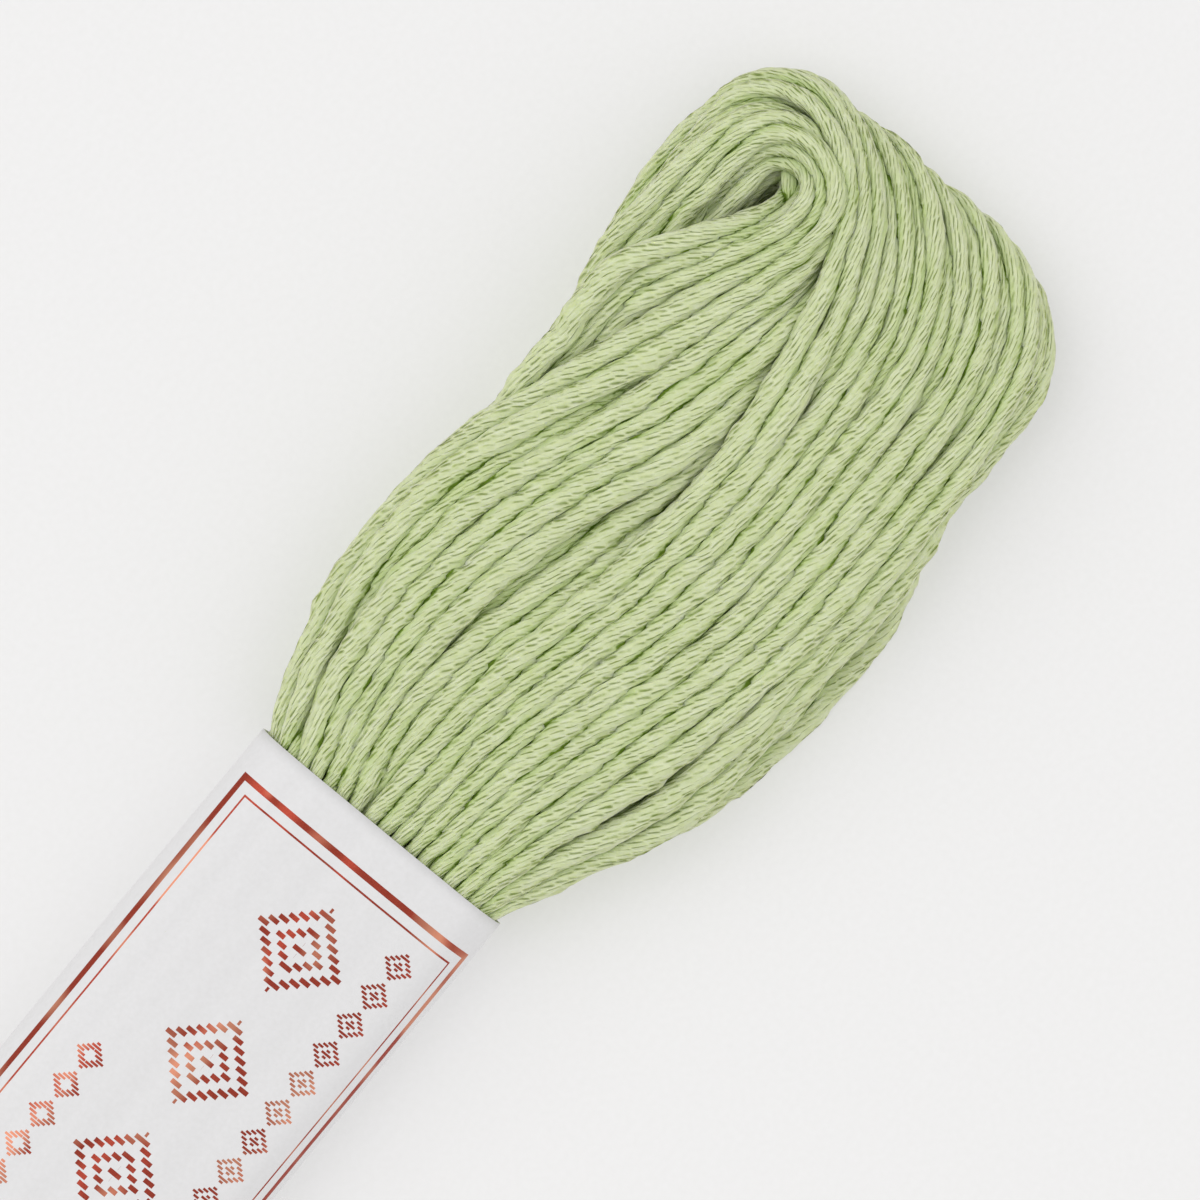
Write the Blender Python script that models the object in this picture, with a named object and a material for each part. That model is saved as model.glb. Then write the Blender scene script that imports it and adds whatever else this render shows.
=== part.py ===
"""A skein of soft-twisted cotton embroidery thread held by a paper band.

The skein lies flat on z = 0 with its length along X. Every turn of the thread runs through the
band twice and turns round at both ends. The thread is one solid of its wound form: a front and a
back half, a cleft along the front, and at each end strands that turn round an eye, where the
hollow inside the turns comes out. The end at +X is the longer one, and the end at -X leans left.
"""

import math
from collections import namedtuple

import bmesh
import bpy
from mathutils import Matrix, Vector

MM = 0.001

# Driving sizes in millimetres.
SKEIN_LENGTH = 175.4
BAND_LENGTH = 60.0
LOOP_REACH = 59.4            # how far the turned loop end stands out of the band
TAIL_REACH = SKEIN_LENGTH - BAND_LENGTH - LOOP_REACH
BAND_WIDTH = 21.2
BAND_HEIGHT = 8.2
BAND_WALL = 1.0
BAND_GAP = 0.3               # clear space between the band and the thread
BAND_FLAT = 0.62             # share of the band's width that lies flat on the surface
BAND_DOME = 0.25             # how far the band's top falls from its middle to its round sides
TAIL_LEAN = 4.1              # how far the tail's fan stands to the left
TAIL_FAN = 26.0              # length over which the tail takes up its lean

LOOP_EDGE = SKEIN_LENGTH / 2 - LOOP_REACH
TAIL_EDGE = LOOP_EDGE - BAND_LENGTH

# Outline quality of one section ring and of the band.
FRONT_STEPS = 40
BACK_STEPS = 20
FORM_SIDES = 14
BAND_CORNER_STEPS = 7

# The front of the fan shows this many rope-like ridges, each a few threads wide.
RIDGE_COUNT = 10
RIDGE_HEIGHT = 0.32
VALLEY_DEPTH = 0.7           # how deep the cleft between the two halves of the fan runs
NOTCH_DEPTH = 0.07           # crease between the halves, as a share of the half width
NOTCH_RISE = 0.3             # share of a half's height over which the crease closes
EDGE_CROWDING = 1.4          # above 1 sets ring points closer together near the edges
FRONT_FULLNESS = 2.6
BACK_FULLNESS = 3.4
REST_FLATTENING = 1.12       # above 1 presses a wider part of the underside flat
FOLD_LENGTH = 6.0            # the relief fades out over this length at each fold

# One row for each section of the skein, in millimetres. reach is the distance out of the
# band. Left is +Y, with +X ahead. The front half spans front_left to front_right, the back half back_left to
# back_right, and cleft is the line where the two halves of the fan meet.
Section = namedtuple(
    "Section", "reach front_left front_right back_left back_right cleft base fold top")

WAIST_HALF = BAND_WIDTH / 2 - BAND_WALL - BAND_GAP
WAIST_BASE = BAND_WALL + BAND_GAP
WAIST_TOP = BAND_HEIGHT - BAND_WALL - BAND_GAP
WAIST_FOLD = (WAIST_BASE + WAIST_TOP) / 2


# The pressed section inside the band.
WAIST = Section(0.0, WAIST_HALF, -WAIST_HALF, WAIST_HALF, -WAIST_HALF, 0.6,
                WAIST_BASE, WAIST_FOLD, WAIST_TOP)

LOOP_SECTIONS = (
    #       reach  front_left front_right back_left back_right cleft base fold  top
    Section(2.0,   11.0,      -10.9,      10.6,     -10.5,     0.6,  0.0, 4.1,  7.8),
    Section(5.2,   12.1,      -12.2,      11.6,     -11.6,     0.9,  0.0, 4.0,  8.1),
    Section(8.6,   13.0,      -14.0,      12.2,     -13.6,     1.6,  0.0, 3.9,  8.3),
    Section(12.2,  13.6,      -15.8,      12.6,     -16.0,     1.9,  0.0, 3.8,  8.4),
    Section(16.4,  13.9,      -16.5,      12.4,     -17.5,     1.0,  0.0, 3.7,  8.4),
    Section(20.7,  13.9,      -16.8,      12.2,     -18.3,     0.1,  0.0, 3.6,  8.3),
    Section(24.8,  13.1,      -16.8,      12.2,     -19.0,     -1.1, 0.0, 3.6,  8.3),
    Section(28.8,  12.0,      -16.7,      12.4,     -19.1,     -1.5, 0.0, 3.6,  8.3),
    Section(32.6,  11.0,      -16.8,      12.7,     -18.8,     -1.5, 0.0, 3.7,  8.4),
    Section(36.4,  12.0,      -16.8,      12.8,     -17.8,     -1.4, 0.0, 3.8,  8.5),
    Section(40.2,  12.4,      -16.7,      13.4,     -16.9,     -1.0, 0.0, 3.9,  8.6),
    Section(43.6,  10.2,      -16.6,      14.4,     -16.7,     -0.4, 0.0, 4.0,  8.7),
    Section(46.6,  9.6,       -16.6,      14.9,     -16.6,     0.3,  0.0, 4.1,  8.7),
    Section(49.4,  10.6,      -16.7,      15.0,     -16.6,     1.5,  0.0, 4.2,  8.6),
    Section(51.8,  12.2,      -16.6,      14.7,     -16.6,     2.9,  0.0, 4.2,  8.4),
    Section(53.8,  12.6,      -15.6,      14.1,     -15.7,     4.4,  0.1, 4.2,  8.1),
    Section(55.6,  12.2,      -14.0,      13.0,     -14.2,     5.6,  0.3, 4.2,  7.6),
    Section(57.2,  11.2,      -11.8,      12.0,     -12.0,     6.6,  0.8, 4.2,  7.0),
    Section(58.4,  9.8,       -9.2,       10.4,     -9.4,      6.0,  1.6, 4.1,  6.2),
    Section(59.1,  8.6,       -7.2,       9.0,      -7.4,      4.0,  2.4, 4.1,  5.4),
    Section(59.4,  7.4,       -5.8,       7.6,      -6.0,      2.0,  3.1, 4.0,  4.7),
)

# One row for each circle of a bent round form.
Station = namedtuple("Station", "reach side height radius")

# The strands that leave the left half of the fan, turn round the eye and run back beneath it.
TURNED_STRANDS = (
    #       reach  side  height radius
    Station(36.0,  6.4,  6.4,   1.2),
    Station(42.0,  6.8,  7.0,   1.8),
    Station(47.0,  5.0,  7.1,   2.0),
    Station(51.0,  4.2,  7.1,   2.0),
    Station(54.0,  4.9,  6.9,   2.0),
    Station(55.8,  6.9,  6.6,   2.0),
    Station(56.1,  9.4,  6.1,   2.0),
    Station(54.8,  11.3, 5.7,   2.0),
    Station(52.2,  12.4, 5.4,   2.0),
    Station(48.6,  12.7, 5.1,   2.0),
    Station(44.6,  12.4, 4.7,   1.9),
    Station(40.0,  11.6, 4.2,   1.5),
    Station(36.0,  10.8, 3.9,   1.0),
)

# The hollow that the turns leave round their core. The first row stands above the eye, and the
# last row stands clear of the thread's right side.
CORE_HOLLOW = (
    #       reach  side   height radius
    Station(51.0,  10.6,  13.0,  4.0),
    Station(51.8,  8.2,   8.6,   2.4),
    Station(52.4,  6.6,   5.9,   1.6),
    Station(52.9,  3.0,   4.6,   1.5),
    Station(53.0,  -4.0,  4.3,   1.4),
    Station(52.0,  -12.0, 4.3,   1.5),
    Station(50.6,  -19.0, 4.3,   1.9),
)

# The columns that are distances to the left.
SIDE_COLUMNS = {"front_left", "front_right", "back_left", "back_right", "cleft", "side"}

# Linear colours of the finishes.
THREAD_COLOUR = (0.46, 0.51, 0.26, 1.0)
PAPER_COLOUR = (0.76, 0.76, 0.77, 1.0)


def clear_scene():
    for obj in list(bpy.data.objects):
        bpy.data.objects.remove(obj, do_unlink=True)


def make_material(name, colour, roughness):
    material = bpy.data.materials.new(name)
    material.use_nodes = True
    shader = material.node_tree.nodes["Principled BSDF"]
    shader.inputs["Base Color"].default_value = colour
    shader.inputs["Roughness"].default_value = roughness
    shader.inputs["Metallic"].default_value = 0.0
    return material


def add_object(name, mesh, material):
    obj = bpy.data.objects.new(name, mesh)
    mesh.materials.append(material)
    bpy.context.scene.collection.objects.link(obj)
    return obj


def blend(start, end, share):
    return start + (end - start) * share


def tail_rows(rows):
    """The same rows for the tail, a little shorter and leaning to the left as it fans out."""
    moved = []
    for row in rows:
        reach = row.reach * TAIL_REACH / LOOP_REACH
        fanned = min(reach / TAIL_FAN, 1.0)
        lean = TAIL_LEAN * fanned * fanned * (3 - 2 * fanned)
        sides = {name: getattr(row, name) + lean for name in SIDE_COLUMNS & set(row._fields)}
        moved.append(row._replace(reach=reach, **sides))
    return moved


def crease(crown, relief):
    """How far a ring point is drawn in beside the crease between the halves."""
    return NOTCH_DEPTH * relief * max(0.0, 1 - crown / NOTCH_RISE) ** 2


def front_points(section, relief):
    """The front half of one ring, from its right edge over the top to its left edge."""
    right, left, cleft = section.front_right, section.front_left, section.cleft
    middle = (left + right) / 2
    rise = section.top - section.fold
    points = []
    for step in range(FRONT_STEPS + 1):
        share = step / FRONT_STEPS
        if share < 0.5:
            side = blend(right, cleft, (2 * share) ** EDGE_CROWDING)
        else:
            side = blend(left, cleft, (2 - 2 * share) ** EDGE_CROWDING)
        across = 2 * (side - right) / (left - right) - 1
        crown = (1 - min(abs(across), 1) ** FRONT_FULLNESS) ** 0.5
        side = middle + (side - middle) * (1 - crease(crown, relief))
        groove = RIDGE_HEIGHT * (1 - abs(math.sin(RIDGE_COUNT * math.pi * share)))
        valley = VALLEY_DEPTH * max(0.0, 1 - abs(share - 0.5) * FRONT_STEPS / 2)
        height = section.fold + crown * (rise - relief * (groove + valley))
        points.append((side, max(height, section.fold + BAND_GAP / 2)))
    return points


def back_points(section, relief):
    """The back half of one ring, from its left edge under the skein to its right edge."""
    right, left = section.back_right, section.back_left
    middle, half = (left + right) / 2, (left - right) / 2
    drop = section.fold - section.base
    points = []
    for step in range(BACK_STEPS + 1):
        turn = math.pi * step / BACK_STEPS
        across = math.copysign(abs(math.cos(turn)) ** (2 / BACK_FULLNESS), math.cos(turn))
        crown = abs(math.sin(turn)) ** (2 / BACK_FULLNESS)
        depth = min(drop * crown * REST_FLATTENING, drop)
        side = middle + half * across * (1 - crease(crown, relief))
        points.append((side, min(section.fold - depth, section.fold - BAND_GAP / 2)))
    return points


def add_ring(mesh, x, section, relief):
    """One closed ring of vertices across the skein."""
    outline = front_points(section, relief) + back_points(section, relief)
    return [mesh.verts.new((x * MM, side * MM, height * MM)) for side, height in outline]


def skein_rings(mesh):
    """Every ring of the thread, from the tail's end to the loop's end."""
    rings = []
    for section in reversed(tail_rows(LOOP_SECTIONS)):
        relief = min(1.0, (TAIL_REACH - section.reach) / FOLD_LENGTH)
        rings.append(add_ring(mesh, TAIL_EDGE - section.reach, section, relief))
    for x in (TAIL_EDGE - BAND_GAP, blend(TAIL_EDGE, LOOP_EDGE, 0.5), LOOP_EDGE + BAND_GAP):
        rings.append(add_ring(mesh, x, WAIST, 1.0))
    for section in LOOP_SECTIONS:
        relief = min(1.0, (LOOP_REACH - section.reach) / FOLD_LENGTH)
        rings.append(add_ring(mesh, LOOP_EDGE + section.reach, section, relief))
    return rings


def skin_rings(mesh, rings):
    """Join neighbouring rings with quads and close both ends."""
    count = len(rings[0])
    for first, second in zip(rings, rings[1:]):
        for index in range(count):
            following = (index + 1) % count
            mesh.faces.new((first[index], first[following], second[following], second[index]))
    mesh.faces.new(rings[0])
    mesh.faces.new(reversed(rings[-1]))
    bmesh.ops.recalc_face_normals(mesh, faces=mesh.faces)


def add_bent_form(name, stations, edge, direction):
    """A helper object: one round form that bends and tapers from station to station."""
    mesh = bmesh.new()
    centres = [Vector((edge + direction * row.reach, row.side, row.height)) * MM
               for row in stations]
    loops = []
    for index, row in enumerate(stations):
        before = centres[max(index - 1, 0)]
        after = centres[min(index + 1, len(centres) - 1)]
        turn = (after - before).to_track_quat("Z", "Y").to_matrix().to_4x4()
        circle = bmesh.ops.create_circle(
            mesh, cap_ends=False, segments=FORM_SIDES, radius=row.radius * MM,
            matrix=Matrix.Translation(centres[index]) @ turn)
        loops.append(circle["verts"])
    skin_rings(mesh, loops)
    data = bpy.data.meshes.new(name)
    mesh.to_mesh(data)
    mesh.free()
    data.shade_smooth()
    form = bpy.data.objects.new(name, data)
    form.hide_render = True
    form.display_type = "WIRE"
    bpy.context.scene.collection.objects.link(form)
    return form


def combine(body, helper, operation):
    step = body.modifiers.new(helper.name, "BOOLEAN")
    step.operation = operation
    step.solver = "EXACT"
    step.object = helper


def build_thread_hank():
    mesh = bmesh.new()
    skin_rings(mesh, skein_rings(mesh))
    data = bpy.data.meshes.new("thread_hank")
    mesh.to_mesh(data)
    mesh.free()
    data.shade_smooth()
    hank = add_object("thread_hank", data, make_material("cotton_thread", THREAD_COLOUR, 0.85))
    ends = (("loop", lambda rows: rows, LOOP_EDGE, 1), ("tail", tail_rows, TAIL_EDGE, -1))
    for end, placed, edge, direction in ends:
        strands = add_bent_form(end + "_strands", placed(TURNED_STRANDS), edge, direction)
        combine(hank, strands, "UNION")
        core = add_bent_form(end + "_core", placed(CORE_HOLLOW), edge, direction)
        combine(hank, core, "DIFFERENCE")
    return hank


def band_outline(inset):
    """The band's section: a flat underside, round sides and a gently domed top."""
    half = BAND_WIDTH / 2 - inset
    low, high = inset, BAND_HEIGHT - inset
    middle = (low + high) / 2
    flat = BAND_WIDTH / 2 * BAND_FLAT
    points = [(flat, low)]
    steps = BAND_CORNER_STEPS * 2
    for step in range(1, steps):
        angle = math.pi * (step / steps - 0.5)
        reach = flat + (half - flat) * math.cos(angle)
        points.append((reach, middle + (middle - low) * math.sin(angle)))
    points.extend((flat * share, high - BAND_DOME * share ** 2) for share in (1.0, 0.5, 0.0))
    return points + [(-side, height) for side, height in reversed(points[:-1])]


def build_paper_band():
    mesh = bmesh.new()
    loops = []
    for x, inset in ((TAIL_EDGE, BAND_WALL), (TAIL_EDGE, 0.0), (LOOP_EDGE, 0.0),
                     (LOOP_EDGE, BAND_WALL)):
        outline = band_outline(inset)
        loops.append([mesh.verts.new((x * MM, side * MM, height * MM))
                      for side, height in outline])
    count = len(loops[0])
    for first, second in zip(loops, loops[1:] + loops[:1]):
        for index in range(count):
            following = (index + 1) % count
            mesh.faces.new((first[index], first[following], second[following], second[index]))
    bmesh.ops.recalc_face_normals(mesh, faces=mesh.faces)
    data = bpy.data.meshes.new("paper_band")
    mesh.to_mesh(data)
    mesh.free()
    data.shade_smooth()
    data.set_sharp_from_angle(angle=math.radians(40))
    return add_object("paper_band", data, make_material("coated_paper", PAPER_COLOUR, 0.4))


clear_scene()
build_thread_hank()
build_paper_band()
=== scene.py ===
import math
import bmesh
import bpy
import numpy as np
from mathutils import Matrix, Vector
from mathutils.kdtree import KDTree


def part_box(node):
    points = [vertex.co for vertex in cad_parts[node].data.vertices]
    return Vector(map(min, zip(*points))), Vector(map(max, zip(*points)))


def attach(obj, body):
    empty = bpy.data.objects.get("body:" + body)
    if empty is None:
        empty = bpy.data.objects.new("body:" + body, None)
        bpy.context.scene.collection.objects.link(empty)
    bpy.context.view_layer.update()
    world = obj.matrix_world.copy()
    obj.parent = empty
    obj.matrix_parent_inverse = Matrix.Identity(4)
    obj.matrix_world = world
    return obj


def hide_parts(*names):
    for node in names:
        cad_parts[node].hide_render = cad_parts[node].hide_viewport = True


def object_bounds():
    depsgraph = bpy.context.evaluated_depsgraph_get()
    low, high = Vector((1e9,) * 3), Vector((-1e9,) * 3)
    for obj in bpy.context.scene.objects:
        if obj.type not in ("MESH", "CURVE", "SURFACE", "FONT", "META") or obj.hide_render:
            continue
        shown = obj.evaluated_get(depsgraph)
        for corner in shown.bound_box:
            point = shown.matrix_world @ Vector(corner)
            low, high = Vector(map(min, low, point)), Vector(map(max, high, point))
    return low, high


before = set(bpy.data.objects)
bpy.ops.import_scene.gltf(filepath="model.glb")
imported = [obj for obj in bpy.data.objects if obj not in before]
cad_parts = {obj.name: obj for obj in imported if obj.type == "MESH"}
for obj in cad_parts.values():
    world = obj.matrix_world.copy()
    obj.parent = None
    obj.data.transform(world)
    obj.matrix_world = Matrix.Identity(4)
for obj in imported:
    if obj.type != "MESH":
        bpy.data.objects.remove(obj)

cadBox = [list(corner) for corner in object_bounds()]
scene = bpy.context.scene
mm = 0.001

# the band sits in the middle, and both loop ends are measured from its two mouths
bandLow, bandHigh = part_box("paper_band")
loopMouth = bandHigh[0] / mm
tailMouth = bandLow[0] / mm
bandMiddle = (loopMouth + tailMouth) / 2
bandHalf = (loopMouth - tailMouth) / 2
tailReach = tailMouth - cadBox[0][0] / mm
loopReach = cadBox[1][0] / mm - loopMouth


def smoothStep(value):
    value = np.clip(value, 0.0, 1.0)
    return value * value * (3.0 - 2.0 * value)


# smooth coated label paper, wrapped once round the thread and glued to itself underneath
bandSpec = {
    "width": (bandHigh[1] - bandLow[1]) / mm,
    "height": (bandHigh[2] - bandLow[2]) / mm,
    "thickness": 0.18,  # mm
    "flatShare": 0.62,  # share of the width that lies flat underneath
    "dome": 0.25,  # mm that the top falls towards its round sides
    "lap": 4.0,  # mm that the glued lap covers
    "lapShift": 2.5,  # mm between the lap's edge and the middle of the underside
    "lapLift": 1.5,  # mm over which the outer end climbs onto the inner one
    "lapRoom": 1.15,  # paper thicknesses that it lies further out
    "grid": (200, 60),  # faces round the band and along it
    "slack": 0.07,  # mm that the upper side lies inside the outline on average
    "ridges": (  # mm high, radians per mm round and along, and where the wave starts
        (0.045, 1.05, 0.0, 0.6),
        (0.03, 2.3, 0.045, 0.0),
        (0.02, 0.6, 0.22, 1.0),
    ),
}

# soft-twisted cotton, six strands of two plies: pressed in the band, drawn thin at the fold
# and fuller between
threadSpec = {
    "bandRadius": 0.575,  # mm
    "looseRadius": 0.74,
    "foldRadius": 0.53,
    "spread": 0.2,  # how much wider than thick the loose thread lies, as a share
    "letOut": 15.0,  # mm out of the band over which the thread fills out
    "drawIn": (37.0, 51.0),  # mm out of the band over which it is drawn thin again
    # squeezed inside the band, widest just out of it: shares of the radius, each reached over
    # so many mm out of the band
    "mouthWidths": ((0.2, 1.5), (-0.08, 14.0), (-0.1, -3.0)),
    "tailLean": 4.1,  # mm that the tail's fan stands to the left
    "tailFan": 26.0,  # mm over which the tail takes up its lean
    "plies": 12,
    "twistLength": 26.0,  # mm for one whole turn of the plies, right-handed
    "slack": 0.35,  # radians that the twist strays from an even one
    "plyDepth": 0.18,  # depth of the grooves between plies, as a share of the radius
    "plyWander": 0.07,  # how unevenly the plies stand out, as a share of the radius
    "uneven": 0.055,  # thicker and thinner places, as a share of the radius
    "unevenLength": 2.0,  # mm from one such place to the next
    "wiggle": 0.05,  # mm that the thread strays from a fair line
    "wander": (0.12, 0.22, 0.12),  # mm that a strand strays along, across and up
    "columns": 17,  # strands side by side in the band
    "frontRows": (4.85, 6.15, 7.4),  # mm above the surface
    "backRows": (0.8, 2.05, 3.3),
    "columnPitch": 1.195,
    "stagger": 0.3,  # mm that the rows stand aside, by turns
    "halfWidth": 9.8,  # mm from the middle to the last column
    "layerPitch": 1.2,  # mm between the layers of the sheet
    "bandRun": 14.0,  # mm that a half turn is laid inside the band
    "orderHeld": (5.8, 3.0),  # mm out of the band that strands stay in order, less at its sides
}

# how the laid strands are pushed apart
settleSpec = {
    "nodes": 124,  # points of one half turn
    "steps": 260,
    "searchEvery": 12,  # steps between searches for close pairs
    "pairReach": 3.2,  # mm between the middles of a close pair
    "ownGap": 5,  # nodes of one strand that can't press on each other
    "hitCap": 2.2,  # how far pushes from several sides add up
    "pull": 0.02,  # share of the way back to its own route, at each step
    "floorRoom": 0.98,  # radii above the surface
    "outlineRoom": 1.12,  # radii inside the outline
    "outlineEnd": 54.0,  # mm out of the band where the outline stops holding
    "bandRoom": 0.12,  # mm kept from the paper
    "fixedInside": -9.0,  # mm out of the band up to which strands stay as laid
    "topEase": 0.25,  # how far the shown strands give way, where others have 1
    "backEase": 0.3,
    "foldEase": 0.45,
}

# Routes of the top strands over the loop end: mm out of the band, mm to the left, mm up, with the
# fold at the point furthest out. The number is the strand's place in its group, from the eye on.
leftGuides = {
    0: [(0, 8.3, 4.8), (4.1, 9.5, 4.7), (8.3, 10.9, 4.6), (13.8, 12.1, 4.6), (20.7, 12.4, 4.7),
        (26.2, 12.1, 5.1), (30.3, 11.9, 5.8), (33.8, 11.9, 6.8), (37.2, 12.2, 7.6), (40, 12.1, 8.2),
        (42.4, 10.9, 8.6), (44.8, 9, 8.7), (48.3, 6.4, 8.2), (50.6, 5.5, 7.2), (52.4, 5.5, 5.7),
        (53.3, 6.6, 3.7), (52.6, 7.7, 3.3), (51, 8, 3.6), (48.3, 7.8, 4.4), (44.8, 7.9, 4.8),
        (41.4, 8.1, 4.6)],
    2: [(0, 6.6, 4.8), (4.1, 7.7, 4.7), (8.3, 9, 4.6), (13.8, 10, 4.7), (20.7, 10.3, 4.8),
        (27.6, 10.1, 5.1), (31.7, 10, 5.6), (35.2, 10, 6.2), (37.9, 9.9, 7), (40.7, 9, 7.8),
        (44.1, 7.3, 8.3), (48.3, 5.3, 8.4), (51.4, 4.2, 8), (53.6, 4.9, 7.4), (54.4, 7, 6.2),
        (53.8, 8.7, 6), (51.4, 9, 6.2), (48.3, 9, 6.1), (44.1, 9.1, 5.4), (41.4, 9.2, 4.8)],
    3: [(0, 10.1, 6.4), (3.4, 10.9, 6.3), (6.9, 11.9, 6.2), (10.3, 12.8, 6.2), (13.8, 13.2, 6.2),
        (17.2, 13.3, 6.3), (20.7, 13.2, 6.5), (24.1, 12.6, 6.8), (27.6, 11.4, 7.1), (31, 10, 7.5),
        (34.5, 8.6, 7.8), (37.9, 7.5, 8.1), (41.4, 6.5, 8.3), (44.8, 5.6, 8.4), (48.3, 4.4, 8.4),
        (51.6, 3.4, 8.2), (53.8, 4.1, 7.8), (55, 7, 7), (54.3, 9.2, 6.6), (52.6, 9.9, 6.2),
        (50.3, 10, 5.9), (46.9, 10, 5.5), (42.8, 10.1, 4.9), (40.7, 10.3, 4.7)],
    4: [(0, 9, 7.3), (3.4, 9.7, 7.3), (6.9, 10.5, 7.3), (10.3, 11.2, 7.3), (13.8, 11.5, 7.3),
        (17.2, 11.6, 7.4), (20.7, 11.4, 7.5), (24.1, 10.7, 7.6), (27.6, 9.6, 7.8), (31, 8.2, 8),
        (34.5, 6.9, 8.2), (37.9, 5.8, 8.3), (41.4, 4.9, 8.4), (44.8, 4.1, 8.4), (48.3, 3, 8.4),
        (51.7, 2.5, 8.2), (54.5, 3.6, 7.7), (55.7, 7.1, 7.5), (55, 9.7, 7.3), (53.4, 10.6, 7.1),
        (51, 10.8, 6.9), (47.6, 10.8, 6.4), (42.8, 11.2, 5.4), (40.7, 11.4, 4.9)],
    6: [(0, 6.7, 7.7), (6.9, 7.7, 7.9), (13.8, 8.3, 8), (20.7, 7.7, 8.1), (27.6, 5.9, 8.2),
        (31, 4.7, 8.3), (34.5, 3.5, 8.4), (38.6, 2.3, 8.4), (42.8, 1.4, 8.3), (46.2, 0.9, 8.1),
        (49.7, 1.2, 7.6), (53.1, 3.2, 7.1), (55.6, 5.7, 6.5), (56.7, 7.8, 6.2), (56.3, 10.1, 6.3),
        (54.6, 11.7, 6.7), (51.7, 12.3, 6.9), (48.3, 12.4, 6.5), (44.1, 12.2, 5.6), (41.4, 11.9, 4.8)],
    8: [(0, 4.3, 7.8), (6.9, 5, 8), (13.8, 5.2, 8.1), (20.7, 4.1, 8.2), (27.6, 2.3, 8.3),
        (31.7, 0.8, 8.3), (35.2, -0.1, 8.1), (38.6, -0.6, 7.7), (42.8, -0.8, 7.2), (46.9, -0.1, 6.7),
        (51, 1.7, 6.4), (54.5, 4.3, 6), (56.6, 6.9, 5.5), (57.4, 8.7, 5), (56.6, 10.8, 4.5),
        (54.3, 12.2, 4.6), (51, 12.7, 4.6), (46.9, 12.5, 4), (41.4, 11.4, 3.3)],
    10: [(0, 2, 7.8), (6.9, 2.3, 8), (11.7, 2.1, 8), (15.9, 1.2, 7.9), (20, 0, 7.6), (24.1, -0.8, 7.2),
        (29, -1.6, 6.8), (34.5, -2.3, 6.5), (41.4, -2.4, 6.4), (46.9, -1.4, 6.3), (51.7, 0.8, 6.1),
        (55.2, 3.8, 5.7), (57.1, 6.4, 5.1), (57.9, 8.6, 4.3), (57.4, 10.6, 3.4), (55.4, 11.9, 2.8),
        (51.7, 12.3, 2.5), (46.9, 11.7, 2.3), (41.4, 10.3, 2.1)],
}

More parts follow.
